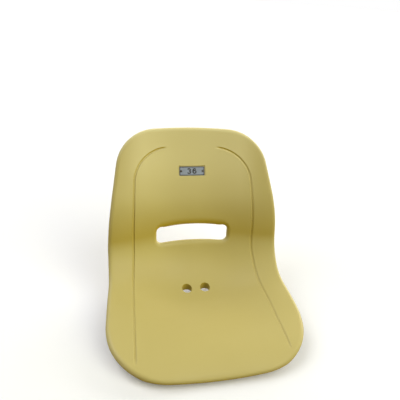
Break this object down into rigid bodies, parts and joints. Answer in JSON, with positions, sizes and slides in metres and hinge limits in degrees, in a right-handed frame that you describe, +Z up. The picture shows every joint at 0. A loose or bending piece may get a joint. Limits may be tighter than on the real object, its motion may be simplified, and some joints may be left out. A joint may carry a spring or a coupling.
{
  "type": "stadium seat",
  "caption": "Bucket stadium seat: one double-skinned moulded shell with a rolled rim, a hand slot in the back, bolt holes in the pan and a riveted number plate.",
  "frame": {"origin": "midway between the two bolt holes, on the flat pad of the underside that rests on the bracket", "axes": "+Z up along the bolt axes, +Y from the front edge to the back, +X across the seat"},
  "size_m": [0.43, 0.4499, 0.3664],
  "materials": {
    "shell_plastic": "satin moulded polyethylene, pale yellow",
    "plate_metal": "satin anodised sheet",
    "rivet_metal": "dull blind rivet"
  },
  "bodies": {
    "root": {"seat_shell": "shell_plastic", "number_plate": "plate_metal", "plate_rivets": "rivet_metal"}
  },
  "joints": []
}
